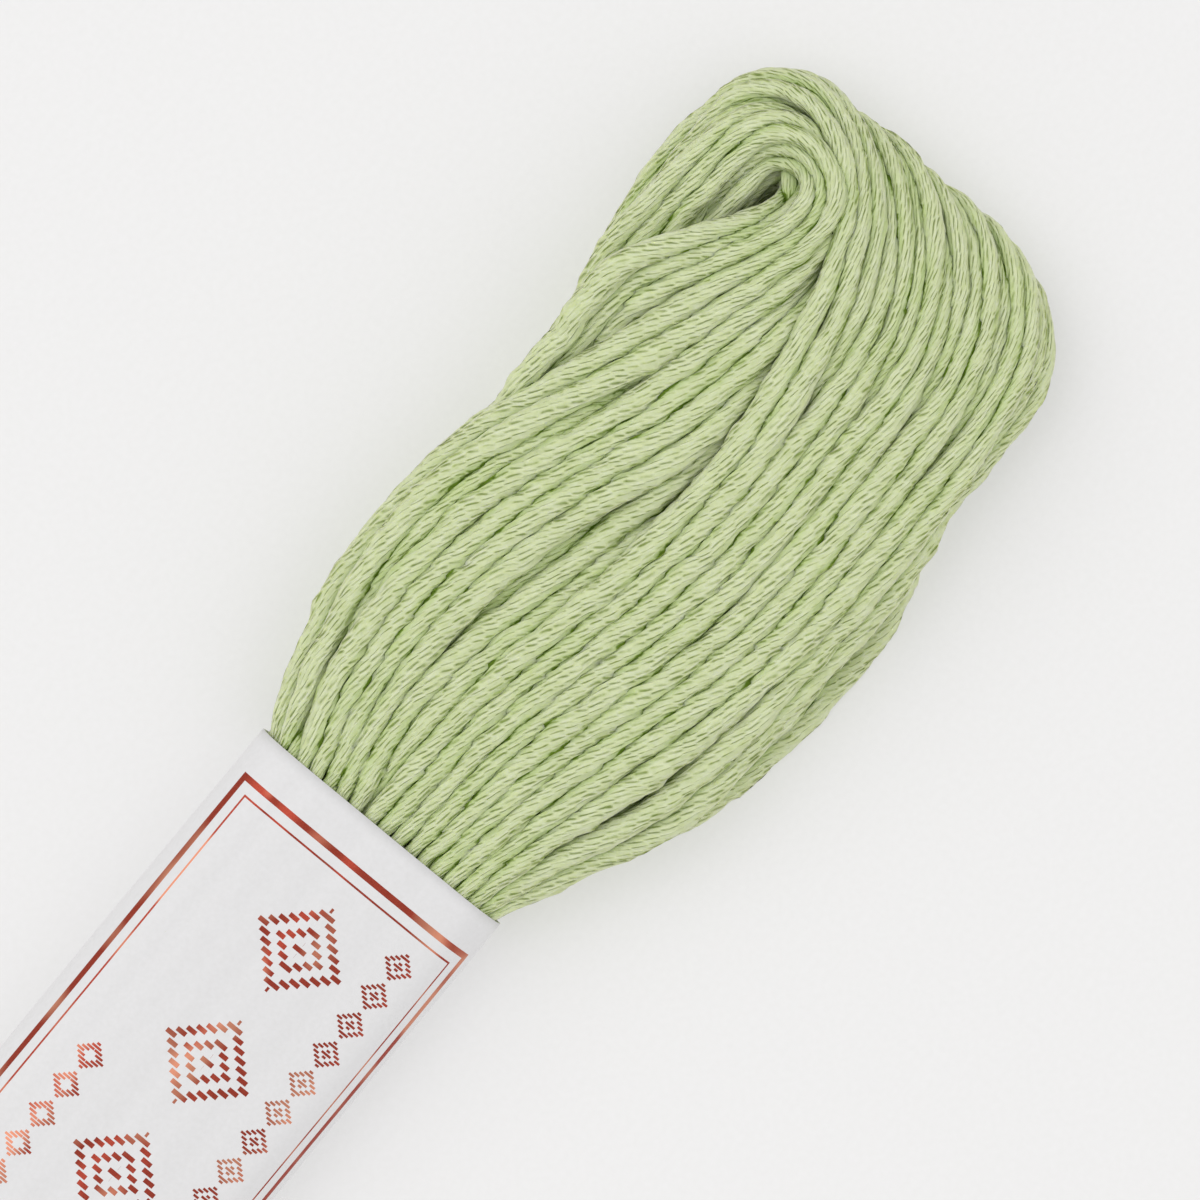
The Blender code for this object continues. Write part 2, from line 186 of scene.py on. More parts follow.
rightGuides = {
    0: [(0, 0.7, 7.8), (6.9, 0.7, 8), (11.7, 0.4, 8.1), (15.9, -0.3, 8.2), (20.7, -1.2, 8.2),
        (25.5, -2, 8.2), (30.3, -2.3, 8.2), (34.5, -2.3, 8.3), (37.2, -2.1, 8.4), (41.4, -1.7, 8.5),
        (44.8, -1, 8.5), (48.3, 0.1, 8.5), (51.7, 1.7, 8.3), (54.5, 3.7, 8), (56.4, 5.9, 7.5),
        (57.4, 7.9, 7), (57.6, 9.4, 6.6), (57.2, 11.2, 6), (55.6, 12.7, 5.6), (53.7, 13.3, 5.3),
        (51, 13.4, 5.1), (47.6, 13.3, 4.8), (43.4, 13, 4.3), (40.7, 12.7, 4.1)],
    1: [(0, -0.6, 7.8), (6.9, -0.7, 8), (11.7, -1, 8.1), (15.9, -1.7, 8.1), (20.7, -2.8, 8.1),
        (25.5, -3.5, 8.1), (30.3, -3.9, 8.2), (34.5, -3.9, 8.2), (41.4, -3.2, 8.3), (44.8, -2.6, 8.3),
        (48.3, -1.6, 8.2), (51.7, 0.1, 8), (54.8, 2.5, 7.5), (57.2, 5.4, 6.7), (58.3, 7.7, 5.9),
        (58.6, 9.5, 5.2), (58.1, 11.4, 4.8), (56.6, 13.2, 4.3), (54, 14.1, 4), (51, 14.3, 3.8),
        (47.6, 14.3, 3.7), (44.1, 13.8, 3.4), (40.7, 13, 3.2)],
    2: [(0, -1.8, 7.8), (6.9, -1.9, 7.9), (13.8, -2.6, 8), (20.7, -4.1, 8), (25.5, -5, 8.1),
        (31, -5.4, 8.1), (34.5, -5.4, 8.1), (41.4, -4.8, 8.1), (44.8, -4.1, 8.1), (48.3, -3.1, 8),
        (51.7, -1.5, 7.7), (55, 1.1, 7.2), (57.5, 4, 6.3), (58.6, 6.3, 5.2), (59, 8.3, 4),
        (58.7, 10.5, 3.2), (57.4, 12.7, 2.7), (55, 14.1, 2.4), (51.7, 14.5, 2.3), (48.3, 14.4, 2.2),
        (44.1, 13.5, 2), (40, 12.1, 1.8)],
    3: [(0, -3, 7.8), (6.9, -3.1, 7.9), (13.8, -4, 7.9), (20.7, -5.5, 7.9), (27.6, -6.8, 8), (31, -7, 8),
        (34.5, -7, 8), (41.4, -6.3, 8), (44.8, -5.6, 7.9), (48.3, -4.6, 7.8), (51.7, -2.9, 7.5),
        (55.2, -0.3, 6.9), (57.5, 2.6, 5.9), (58.5, 5, 4.8), (58.8, 7.2, 3.6), (58.4, 7.6, 2.5),
        (56.9, 7.8, 1.5), (54.1, 7.6, 1), (50.3, 7.2, 0.8), (44.8, 6.3, 0.8), (38.6, 5.2, 0.8)],
    6: [(0, -6.2, 7.5), (3.4, -6.3, 7.5), (6.9, -6.8, 7.5), (13.8, -8.4, 7.5), (20.7, -10.1, 7.5),
        (27.6, -11.1, 7.5), (34.5, -11.4, 7.5), (41.4, -11, 7.5), (48.3, -10.1, 7.3), (51.7, -8.8, 7.1),
        (55.2, -6.5, 6.7), (57.4, -4, 5.9), (58.5, -1.9, 5), (58.9, 0.6, 3.8), (58.6, 2.9, 2.6),
        (57.2, 4.8, 1.6), (54.5, 6.3, 0.9), (49.7, 6.8, 0.7), (42.8, 5.2, 0.7), (34.5, 3.1, 0.7),
        (27.6, 1.9, 0.7)],
    8: [(0, -8.3, 7), (3.4, -8.8, 6.9), (6.9, -9.5, 6.8), (10.3, -10.7, 6.8), (13.8, -11.8, 6.8),
        (20.7, -13.2, 6.8), (27.6, -14, 6.8), (34.5, -14.2, 6.8), (41.4, -14, 6.8), (48.3, -13.6, 6.7),
        (52.4, -12.8, 6.5), (55.5, -11.1, 6.1), (57.7, -8.9, 5.4), (58.8, -7, 4.5), (59.2, -5.1, 3.5),
        (58.4, -2.9, 2.4), (57.1, -1.2, 1.5), (54.5, 0, 0.9), (49.7, 0.3, 0.7), (42.8, -0.8, 0.7),
        (34.5, -2.9, 0.7), (26.2, -4.3, 0.7), (17.2, -4.3, 0.7)],
    9: [(0, -9.2, 6.3), (3.4, -9.9, 6.2), (6.9, -11.2, 6.1), (10.3, -12.7, 6), (13.8, -13.8, 6),
        (20.7, -14.9, 6), (27.6, -15.4, 6), (34.5, -15.6, 6.1), (41.4, -15.4, 6.1), (48.3, -15.3, 6),
        (52.8, -14.6, 5.8), (55.6, -12.9, 5.3), (57.5, -10.8, 4.7), (58.8, -8.1, 3.7), (57.9, -5.9, 2.5),
        (56.4, -4.6, 1.4), (53.8, -4.1, 0.8), (48.3, -5.5, 0.7), (41.4, -9, 0.7), (35.9, -12.8, 0.7),
        (30.3, -15.3, 0.7), (24.8, -15.9, 0.7), (18.6, -15, 0.7), (13.1, -13.5, 0.8)],
    10: [(0, -10, 5.6), (3.4, -11.2, 5.3), (6.9, -12.9, 5.1), (10.3, -14.6, 5), (13.8, -15.7, 5),
        (17.2, -16.2, 5), (24.1, -16.4, 5), (31, -16.5, 5), (37.9, -16.5, 5.1), (44.8, -16.3, 5.1),
        (49.7, -16.4, 5), (52.8, -16, 4.9), (54.8, -14.8, 4.6), (56.5, -13.2, 4.2), (57.8, -11.4, 3.7),
        (58.3, -9.4, 3), (57.6, -7.9, 2), (55.4, -7.5, 1.2), (51.7, -9.2, 0.8), (47.6, -11.6, 0.7),
        (42.8, -14.4, 0.7), (37.9, -16.9, 0.7), (34.8, -18.3, 0.7), (31.5, -19, 0.7), (27.6, -19.1, 0.7),
        (22.1, -18.5, 0.7), (17.2, -17.6, 0.7), (12.4, -16, 0.8), (9, -14.5, 0.9)],
}

# how a strand runs between the guides
guideSpec = {
    "frontPoints": 64,  # points to the fold
    "backPoints": 32,  # points from the fold on
    "spreadAt": 55,  # point at which the fold's width is shared out
    "moves": ((34, 18.0), (62, 20.0)),  # point, and points over which a strand changes place
    "layerMove": (36.0, 12.0),  # mm out, and mm over which it changes layer
}

# the strands below the top layer, as (place in the group, layer, layer at the fold)
innerLeft = [(0.6, 1, 1), (2.5, 1, 1), (4.4, 1, 1), (5.8, 1, 1), (7.0, 1, 1), (8.2, 1, 1),
             (9.4, 1, 1), (4.0, 2, 2), (6.0, 2, 2), (7.7, 2, 2), (9.0, 2, 2), (10.0, 2, 2)]
innerRight = [(place, 1, 0) for place in (1.5, 3.5, 5.5, 7.5, 9.3)]
innerRight += [(place, 1, 1) for place in (0.5, 2.5, 4.5, 6.5, 8.5)]
innerRight += [(place, 2, 1.2) for place in np.linspace(0.9, 9.2, 7)]

# the skein's outline: mm out of the band, mm to the left and mm to the right
outlineSpec = [(0, 10.6, 10.4), (3.4, 11.9, 11.9), (6.9, 12.8, 13.2), (10.3, 13.7, 15.3),
               (13.8, 14.2, 16.8), (17.2, 14.2, 18.0), (20.7, 14.1, 18.4), (24.1, 13.6, 19.0),
               (27.6, 12.6, 19.0), (31.0, 12.9, 19.2), (34.5, 12.7, 19.1), (37.9, 13.2, 17.6),
               (41.4, 14.2, 16.8), (44.8, 14.8, 16.8), (48.3, 15.1, 16.9), (51.0, 14.9, 17.1),
               (53.0, 14.6, 16.9), (55.0, 14.2, 15.9)]


def threadRadius(reach):
    small, loose, fold = (threadSpec[key] for key in ("bandRadius", "looseRadius", "foldRadius"))
    start, end = threadSpec["drawIn"]
    radius = small + (loose - small) * smoothStep(reach / threadSpec["letOut"])
    return radius - (loose - fold) * smoothStep((reach - start) / (end - start))


def addObject(name, data):
    made = bpy.data.objects.new(name, data)
    scene.collection.objects.link(made)
    return made


def lengthAlong(points):
    steps = np.linalg.norm(np.diff(points, axis=0), axis=1)
    return np.concatenate([[0.0], np.cumsum(steps)])


def spreadEvenly(points, count):
    along = lengthAlong(points)
    places = np.linspace(0, along[-1], count)
    return np.stack([np.interp(places, along, points[:, axis]) for axis in range(3)], 1)


def rowDots(one, two):
    return np.einsum("ij,ij->i", one, two)


def unitRows(rows):
    return rows / (np.linalg.norm(rows, axis=1)[:, None] + 1e-9)


def evenedOut(line, rounds):
    # draws every point but the first and last towards its neighbours
    for _ in range(rounds):
        line[1:-1] = (line[:-2] + 2 * line[1:-1] + line[2:]) / 4
    return line


def onCurve(a, b, c, d, t):
    # the place at share t of the way from b to c, on a smooth curve through all four
    return 0.5 * (2 * b + (c - a) * t + (2 * a - 5 * b + 4 * c - d) * t ** 2
                  + (3 * b - a - 3 * c + d) * t ** 3)


def curveThrough(points, count):
    # evenly spaced points on a smooth curve through the given ones
    points = np.array(points, float)
    ends = np.vstack([2 * points[0] - points[1], points, 2 * points[-1] - points[-2]])
    t = np.linspace(0, 1, 12, endpoint=False)[:, None]
    parts = [onCurve(*four, t) for four in zip(ends[:-3], ends[1:-2], ends[2:-1], ends[3:])]
    return spreadEvenly(np.vstack(parts + [points[-1:]]), count)


def guideSheet(guides):
    # every guide as the same number of points, from the band's mouth over the fold and back
    fronts = []
    backs = []
    for number in sorted(guides):
        points = guides[number]
        fold = points.index(max(points))
        fronts.append(curveThrough(points[:fold + 1], guideSpec["frontPoints"]))
        backs.append(curveThrough(points[fold:], guideSpec["backPoints"]))
    return np.concatenate([np.array(fronts), np.array(backs)[:, 1:]], axis=1)


def evenFoldPlaces(guides, count):
    # the places that share the fold's width evenly between count strands
    along = lengthAlong(guideSheet(guides)[:, guideSpec["spreadAt"]])
    return np.interp(np.linspace(0, along[-1], count), along, sorted(guides))


def strandRoute(guides, places, layers):
    # a strand between the guides, set in by its layer along the sheet's own normal: places are
    # at the band, at the fold and on the way back, layers at the band and at the fold
    sheet = guideSheet(guides)
    numbers = np.array(sorted(guides), float)
    step = np.arange(sheet.shape[1])
    number = places[0]
    for place, (start, over) in zip(places[1:], guideSpec["moves"]):
        number = number + (place - number) * smoothStep((step - start) / over)

    def between(number):
        number = np.clip(number, numbers[0], numbers[-1])
        low = np.clip(np.searchsorted(numbers, number, "right") - 1, 0, len(numbers) - 2)
        share = ((number - numbers[low]) / (numbers[low + 1] - numbers[low]))[:, None]
        return sheet[low, step] * (1 - share) + sheet[low + 1, step] * share

    path = between(number)
    normal = np.cross(np.gradient(path, axis=0), between(number + 0.7) - between(number - 0.7))
    normal = unitRows(evenedOut(unitRows(normal), 6))
    start, over = guideSpec["layerMove"]
    depth = layers[0] + (layers[1] - layers[0]) * smoothStep((path[:, :1] - start) / over)
    return path + normal * depth * threadSpec["layerPitch"]


def keepInBand(y, z, radius):
    # the round outline of the band's inside, less the strand's own radius
    middle = bandSpec["height"] / 2
    flat = bandSpec["width"] / 2 - middle
    room = middle - bandSpec["thickness"] - radius
    side = np.maximum(np.abs(y) - flat, 0)
    rise = z - middle
    share = np.minimum(1.0, room / np.maximum(np.hypot(side, rise), 1e-9))
    side = side * share
    return np.sign(y) * (np.minimum(np.abs(y), flat) + side), middle + rise * share


def placesInBand(y, z, rows):
    # strands keep their order across the band, and in each column the higher one stays higher
    columns = threadSpec["columns"]
    order = np.argsort(-y)
    places = np.zeros((len(y), 2))
    for column in range(columns):
        across = ((columns - 1) / 2 - column) * threadSpec["columnPitch"]
        group = order[column * len(rows):(column + 1) * len(rows)]
        for row, strand in enumerate(sorted(group, key=lambda one: z[one])):
            shift = threadSpec["stagger"] if row % 2 else -threadSpec["stagger"]
            places[strand] = across + shift, rows[row]
    return np.stack(keepInBand(places[:, 0], places[:, 1], threadSpec["bandRadius"]), 1)


def layStrands(seed):
    # the wished route of every half turn, from inside the band, round the loop end and back
    strands = []
    for guides, inner, group in ((leftGuides, innerLeft, 0), (rightGuides, innerRight, 1)):
        members = [(number, 0, 0) for number in range(11)] + inner
        ranks = sorted(place for place, layer, foldLayer in members if foldLayer == 0)
        foldPlaces = evenFoldPlaces(guides, len(ranks))
        for place, layer, foldLayer in members:
            backPlace = place * (1 - 0.25 * layer) if group == 0 else place
            shown = foldLayer == 0
            foldPlace = foldPlaces[ranks.index(place)] if shown and group == 1 else place
            route = strandRoute(guides, (place, foldPlace, backPlace), (layer, foldLayer))
            strands.append({"group": group, "place": place, "layer": layer, "route": route,
                            "shown": shown})
    folds = [int(np.argmax(strand["route"][:, 0])) for strand in strands]

    # the order in the band is read this many mm out of it, on the way out and on the way back
    bandPlaces = []
    for half, reach, rows in ((0, 12.0, "frontRows"), (1, 40.0, "backRows")):
        read = []
        for strand, fold in zip(strands, folds):
            part = (strand["route"][:fold], strand["route"][fold:])[half]
            read.append(part[np.argmin(np.abs(part[:, 0] - reach)), 1:])
        read = np.array(read)
        bandPlaces.append(placesInBand(read[:, 0], read[:, 1], threadSpec[rows]))

    inside = -threadSpec["bandRun"]
    wished = []
    for strand, fold, front, back in zip(strands, folds, *bandPlaces):
        route = strand["route"].copy()
        hold, less = threadSpec["orderHeld"]
        sideways = front[0] / threadSpec["halfWidth"]
        held = 1 - smoothStep((route[:, 0] + 0.5) / (hold - less * sideways ** 4))
        held[fold:] = 0
        for axis in (0, 1):
            route[:, axis + 1] += (front[axis] - route[:, axis + 1]) * held
        # run on inside the band in steps of 1.5 mm, and a bridge from the way back to its mouth
        head = np.array([[x, *front] for x in np.arange(inside, -1.0, 1.5)])
        tail = np.array([[x, *back] for x in np.arange(-3.0, inside - 0.1, -1.5)])
        last, mouth = route[-1], np.array([-3.0, *back])
        share = np.linspace(0, 1, max(int(last[0] / 1.5), 4) + 2)[1:-1][:, None]
        eased = smoothStep(share)
        bridge = last + (mouth - last) * np.hstack([share, 0.6 * share + 0.4 * eased, eased])
        whole = evenedOut(spreadEvenly(np.vstack([head, route, bridge, tail]), 400), 40)
        wished.append(spreadEvenly(whole, settleSpec["nodes"]))
    wished = np.array(wished)

    # a slow wander, because no strand lies quite true
    random = np.random.default_rng(seed)
    knots = random.normal(0, 1, (len(strands), 16, 3))
    at = np.linspace(0, 15, settleSpec["nodes"])
    wander = np.array([[np.interp(at, np.arange(16), one[:, axis]) for axis in range(3)]
                       for one in knots])
    wander = evenedOut(wander.transpose(2, 0, 1), 12).transpose(1, 0, 2)
    free = smoothStep(wished[:, :, 0] / 16.0)[:, :, None]
    return strands, wished + wander * np.array(threadSpec["wander"]) * free


def closePairs(middles, strand, order, reach):
    # pairs of short lengths of thread whose middles lie within reach, found in a grid of cells
    cell = np.floor(middles / reach).astype(np.int64)
    cell -= cell.min(axis=0) - 1
    size = cell.max(axis=0) + 2
    key = (cell[:, 0] * size[1] + cell[:, 1]) * size[2] + cell[:, 2]
    byKey = np.argsort(key, kind="stable")
    sortedKeys = key[byKey]
    firsts = []
    seconds = []
    offsets = [(dx * size[1] + dy) * size[2] + dz
               for dx in (-1, 0, 1) for dy in (-1, 0, 1) for dz in (-1, 0, 1)]
    for offset in [value for value in offsets if value >= 0]:
        low = np.searchsorted(sortedKeys, key + offset, "left")
        found = np.searchsorted(sortedKeys, key + offset, "right") - low
        first = np.repeat(np.arange(len(key)), found)
        start = np.repeat(low - np.concatenate([[0], np.cumsum(found)[:-1]]), found)
        second = byKey[np.arange(len(first)) + start]
        if offset == 0:
            once = first < second
            first, second = first[once], second[once]
        firsts.append(first)
        seconds.append(second)
    first = np.concatenate(firsts)
    second = np.concatenate(seconds)
    apart = middles[first] - middles[second]
    near = rowDots(apart, apart) < reach * reach
    farAlong = np.abs(order[first] - order[second]) > settleSpec["ownGap"]
    near &= (strand[first] != strand[second]) | farAlong
    return first[near], second[near]


def settleStrands(wished, radius, ease):
    # pushes strands that overlap apart, and lets each lie as near its own route as it can
    strandCount, nodeCount = wished.shape[:2]
    places = wished.copy()
    strand = np.repeat(np.arange(strandCount), nodeCount - 1)
    order = np.tile(np.arange(nodeCount - 1), strandCount)
    start = strand * nodeCount + order
    radii = radius.reshape(-1)
    weight = ease.reshape(-1)
    pull = (1 - settleSpec["pull"] * (0.3 + 1.2 * (1 - ease)))[:, :, None]
    out, left, right = np.array(outlineSpec).T
    outline = np.stack([np.interp(wished[:, :, 0], out, side) for side in (left, right)])
    for step in range(settleSpec["steps"]):
        flat = places.reshape(-1, 3)
        if step % settleSpec["searchEvery"] == 0:
            middles = (flat[start] + flat[start + 1]) / 2
            first, second = closePairs(middles, strand, order, settleSpec["pairReach"])
        one, two = start[first], start[second]
        # nearest points of the two short lengths
        alongOne = flat[one + 1] - flat[one]
        alongTwo = flat[two + 1] - flat[two]
        between = flat[one] - flat[two]
        oneOne = rowDots(alongOne, alongOne)
        twoTwo = rowDots(alongTwo, alongTwo)
        oneTwo = rowDots(alongOne, alongTwo)
        oneGap = rowDots(alongOne, between)
        twoGap = rowDots(alongTwo, between)
        spread = np.maximum(oneOne * twoTwo - oneTwo ** 2, 1e-3 * oneOne * twoTwo)
        shareOne = np.clip((oneTwo * twoGap - oneGap * twoTwo) / spread, 0, 1)
        shareTwo = np.clip((oneTwo * shareOne + twoGap) / twoTwo, 0, 1)
        shareOne = np.clip((oneTwo * shareTwo - oneGap) / oneOne, 0, 1)
        between = between + alongOne * shareOne[:, None] - alongTwo * shareTwo[:, None]
        distance = np.sqrt(rowDots(between, between)) + 1e-9
        overlap = radii[one] + radii[two] - distance
        touching = overlap > 0
        one, two, overlap = one[touching], two[touching], overlap[touching]
        shareOne, shareTwo = shareOne[touching], shareTwo[touching]
        push = between[touching] / distance[touching][:, None]
        total = weight[one] + weight[two] + 1e-9
        pushOne = push * (overlap * weight[one] / total)[:, None]
        pushTwo = -push * (overlap * weight[two] / total)[:, None]
        moved = np.zeros_like(flat)
        hits = np.zeros(len(flat))
        for node, move, share in ((one, pushOne, 1 - shareOne), (one + 1, pushOne, shareOne),
                                  (two, pushTwo, 1 - shareTwo), (two + 1, pushTwo, shareTwo)):
            for axis in range(3):
                moved[:, axis] += np.bincount(node, weights=move[:, axis] * share,
                                              minlength=len(flat))
            hits += np.bincount(node, weights=share, minlength=len(flat))
        addUp = np.sqrt(np.minimum(hits, settleSpec["hitCap"])) / np.maximum(hits, 1.0)
        flat = flat + moved * addUp[:, None]
        # the thread is springy: what is pushed aside takes its neighbours along
        offset = flat.reshape(wished.shape) - wished
        offset[:, 1:-1] = offset[:, 1:-1] * 0.5 + (offset[:, :-2] + offset[:, 2:]) * 0.25
        offset *= pull
        places = wished + offset
        places[:, :, 2] = np.maximum(places[:, :, 2], radius * settleSpec["floorRoom"])
        left, right = outline - settleSpec["outlineRoom"] * radius
        kept = np.clip(places[:, :, 1], -right, left)
        outlined = places[:, :, 0] < settleSpec["outlineEnd"]
        places[:, :, 1] = np.where(outlined, kept, places[:, :, 1])
        inBand = keepInBand(places[:, :, 1], places[:, :, 2], radius + settleSpec["bandRoom"])
        held = places[:, :, 0] < 0.5
        for axis in (0, 1):
            places[:, :, axis + 1] = np.where(held, inBand[axis], places[:, :, axis + 1])
        places = np.where(places[:, :, :1] < settleSpec["fixedInside"], wished, places)
    return places


def settledEnd(seed):
    strands, wished = layStrands(seed)
    out = wished[:, :, 0]
    # the strands of the top layer keep their places, and those under them give way
    ease = np.ones(out.shape)
    for index, strand in enumerate(strands):
        if strand["layer"] == 0:
            fold = int(np.argmax(out[index]))
            ease[index, :fold + 4] = settleSpec["topEase"]
            # the first few of each group show on the way back too
            if strand["place"] <= (5 if strand["group"] == 0 else 1.5):
                shown = (np.arange(out.shape[1]) >= fold) & (out[index] > 40.0)
                ease[index, shown] = settleSpec["backEase"]
        # the strands that come up at the fold share its width evenly with the others
        if strand["shown"] and strand["group"] == 1 and strand["place"] > 1.5:
            ease[index, out[index] > 44.0] = settleSpec["foldEase"]
    return strands, settleStrands(wished, threadRadius(out), ease)


def smoothReading(points, places):
    # reads a smooth curve through points at fractional places, for an even sheen
    last = len(points) - 1
    low = np.clip(places.astype(int), 0, last - 1)
    four = [points[np.clip(low + step, 0, last)] for step in (-1, 0, 1, 2)]
    return onCurve(*four, (places - low)[:, None])


def smoothWave(distance, knots, random):
    # random heights at the knots, joined by a rounded line
    values = random.normal(0, 1, len(knots))
    place = np.interp(distance, knots, np.arange(len(knots)))
    low = np.clip(place.astype(int), 0, len(knots) - 2)
    return values[low] + (values[low + 1] - values[low]) * smoothStep(place - low)


def plySection(points):
    # round plies side by side: a groove, then the shoulders or crown of a ply
    curve = bpy.data.curves.new("plySection", "CURVE")
    curve.dimensions = "2D"
    spline = curve.splines.new("POLY")
    spline.points.add(points - 1)
    plies = threadSpec["plies"]
    for index, point in enumerate(spline.points):
        angle = 2 * math.pi * index / points
        crown = abs(math.sin(plies / 2 * angle))
        reach = 1.0 - threadSpec["plyDepth"] * (1 - crown) ** 1.5
        point.co = (reach * math.cos(angle), reach * math.sin(angle), 0, 1)
    spline.use_cyclic_u = True
    return addObject("plySection", curve)


def crowdOf(routes):
    # points close together on every strand, to find what lies next to what
    dense = [spreadEvenly(points, int(lengthAlong(points)[-1] / 0.5)) for points, radius in routes]
    owner = np.repeat(np.arange(len(routes)), [len(points) for points in dense])
    radii = np.concatenate([np.interp(lengthAlong(line), lengthAlong(points), radius)
                            for line, (points, radius) in zip(dense, routes)])
    places = np.vstack(dense)
    tree = KDTree(len(places))
    for index, place in enumerate(places):
        tree.insert(place, index)
    tree.balance()
    return tree, places, owner, radii


def gapsToOthers(rings, centres, owners, crowd):
    # mm from each point of a ring to the nearest other strand, and 1 where none is near
    tree, places, owner, radii = crowd
    gaps = np.ones(rings.shape[:2])
    for index, (ring, centre, own) in enumerate(zip(rings, centres, owners)):
        near = [found[1] for found in tree.find_range(centre, 2.1) if owner[found[1]] != own]
        if near:
            away = np.linalg.norm(ring[:, None] - places[near], axis=2) - radii[near]
            gaps[index] = np.minimum(away.min(axis=1), 1.0)
    return gaps


def ringsAlong(points, radius, ringStep, random):
    # the rings of one strand: where each stands and how far along, its radius and its twist, its
    # own side and top and how much wider than thick it is, and how far every ply stands out
    along = lengthAlong(points)
    number = np.arange(len(points))
    outside = np.abs(points[:, 0] - bandMiddle) > bandHalf - 2.5
    # rings stand close together on the upper side, and 3 mm apart inside the band
    density = np.where(points[:, 2] > 2.5, 1 / ringStep, 0.5 / ringStep)
    density = np.where(outside, density, 1 / 3.0)
    rings = np.concatenate([[0.0], np.cumsum((density[1:] + density[:-1]) / 2 * np.diff(along))])
    places = np.interp(np.linspace(0, rings[-1], int(round(rings[-1])) + 1), rings, number)
    distance = np.interp(places, number, along)
    thickness = np.interp(places, number, radius)

    # thicker and thinner places, small strays that die out in the band, and an uneven twist
    knots = np.linspace(0, along[-1], int(along[-1] / threadSpec["unevenLength"]))
    wave, shiftSide, shiftUp = (smoothWave(distance, knots, random) for _ in range(3))
    stray = threadSpec["wiggle"] * smoothStep(thickness / threadSpec["bandRadius"] * 20 - 20)
    line = smoothReading(points, places)
    line = line + np.stack([0 * wave, shiftSide, shiftUp], 1) * stray[:, None]
    slack = random.normal(0, threadSpec["slack"], 20)
    slack = np.interp(distance, np.linspace(0, along[-1], 20), slack)
    tilt = 2 * math.pi * distance / threadSpec["twistLength"] + slack + random.uniform(0, 6.28)

    # where it lies loose and level the thread is wider than thick
    tangent = np.gradient(line, axis=0)
    tangent /= np.linalg.norm(tangent, axis=1)[:, None]
    side = unitRows(np.stack([tangent[:, 1], -tangent[:, 0], 0 * distance], 1))
    free = smoothStep((np.abs(line[:, 0] - bandMiddle) - bandHalf) / 2.5)
    wide = threadSpec["spread"] * free * (1 - tangent[:, 2] ** 2) ** 2

    # each ply stands out a little more here and less there
    count = int(along[-1] / max(0.9, 2 * ringStep))
    heights = random.normal(0, 1, (count, threadSpec["plies"]))
    at = distance / along[-1] * (count - 1)
    swell = np.stack([np.interp(at, np.arange(count), ply) for ply in heights.T], 1)
    return {"line": line, "along": distance, "radius": thickness * (1 + threadSpec["uneven"] * wave),
            "tilt": tilt, "side": side, "top": np.cross(side, tangent), "wide": wide,
            "swell": swell}


def strandPiece(name, routes, chosen, crowd, sectionPoints, ringStep, seed):
    # routes are half turns in mm in the skein's own frame; every one is twisted and closed
    random = np.random.default_rng(seed)
    section = plySection(sectionPoints)
    curve = bpy.data.curves.new(name, "CURVE")
    curve.dimensions = "3D"
    curve.bevel_mode = "OBJECT"
    curve.bevel_object = section
    strands = []
    for index in chosen:
        strand = ringsAlong(*routes[index], ringStep, random)
        count = len(strand["line"])
        spline = curve.splines.new("POLY")
        spline.points.add(count - 1)
        place = np.hstack([strand["line"] * mm, np.ones((count, 1))])
        spline.points.foreach_set("co", place.ravel())
        spline.points.foreach_set("radius", strand["radius"] * mm)
        spline.points.foreach_set("tilt", strand["tilt"])
        strand["owner"] = np.full(count, index)
        strand["along"] = strand["along"] + 1000.0 * (index + 1)  # each strand its own pattern
        strands.append(strand)
    ring = {key: np.concatenate([strand[key] for strand in strands]) for key in strands[0]}
    holder = addObject(name + "Curve", curve)
    graph = bpy.context.evaluated_depsgraph_get()
    mesh = bpy.data.meshes.new_from_object(holder.evaluated_get(graph), depsgraph=graph)
    mesh.name = name
    bpy.data.objects.remove(holder)
    bpy.data.objects.remove(section)

    centre, side, top, wide, along = (np.repeat(rows, sectionPoints, axis=0) for rows in (
        ring["line"] * mm, ring["side"], ring["top"], ring["wide"], ring["along"]))
    places = np.zeros(len(mesh.vertices) * 3, dtype=np.float32)
    mesh.vertices.foreach_get("co", places)
    swell = np.repeat(ring["swell"], sectionPoints // threadSpec["plies"], axis=1).reshape(-1, 1)
    offset = (places.reshape(-1, 3) - centre) * (1 + threadSpec["plyWander"] * swell)
    offset += side * (rowDots(offset, side) * wide)[:, None]
    offset -= top * (rowDots(offset, top) * wide * 0.5)[:, None]
    places = centre + offset
    mesh.vertices.foreach_set("co", places.ravel().astype(np.float32))
    places = places.reshape(-1, sectionPoints, 3) / mm
    gaps = gapsToOthers(places, ring["line"], ring["owner"], crowd)
    # the gaps steer the cotton's painted crease shade and its greener painted shade
    mesh.attributes.new("gap", "FLOAT", "POINT").data.foreach_set("value", gaps.ravel())

    # UV map: mm along the thread, and the share of the way round it
    corner = np.zeros(len(mesh.loops), dtype=np.int32)
    mesh.loops.foreach_get("vertex_index", corner)
    around = (corner % sectionPoints).reshape(-1, 4) / sectionPoints
    seam = (around.max(axis=1) - around.min(axis=1)) > 0.5
    around[seam] = np.where(around[seam] == 0, 1.0, around[seam])
    mesh.uv_layers[0].data.foreach_set("uv", np.stack([along[corner], around.ravel()], 1).ravel())
    mesh.shade_smooth()

    work = bmesh.new()
    work.from_mesh(mesh)
    bmesh.ops.holes_fill(work, edges=[edge for edge in work.edges if edge.is_boundary], sides=0)
    work.to_mesh(mesh)
    work.free()
    return addObject(name, mesh)


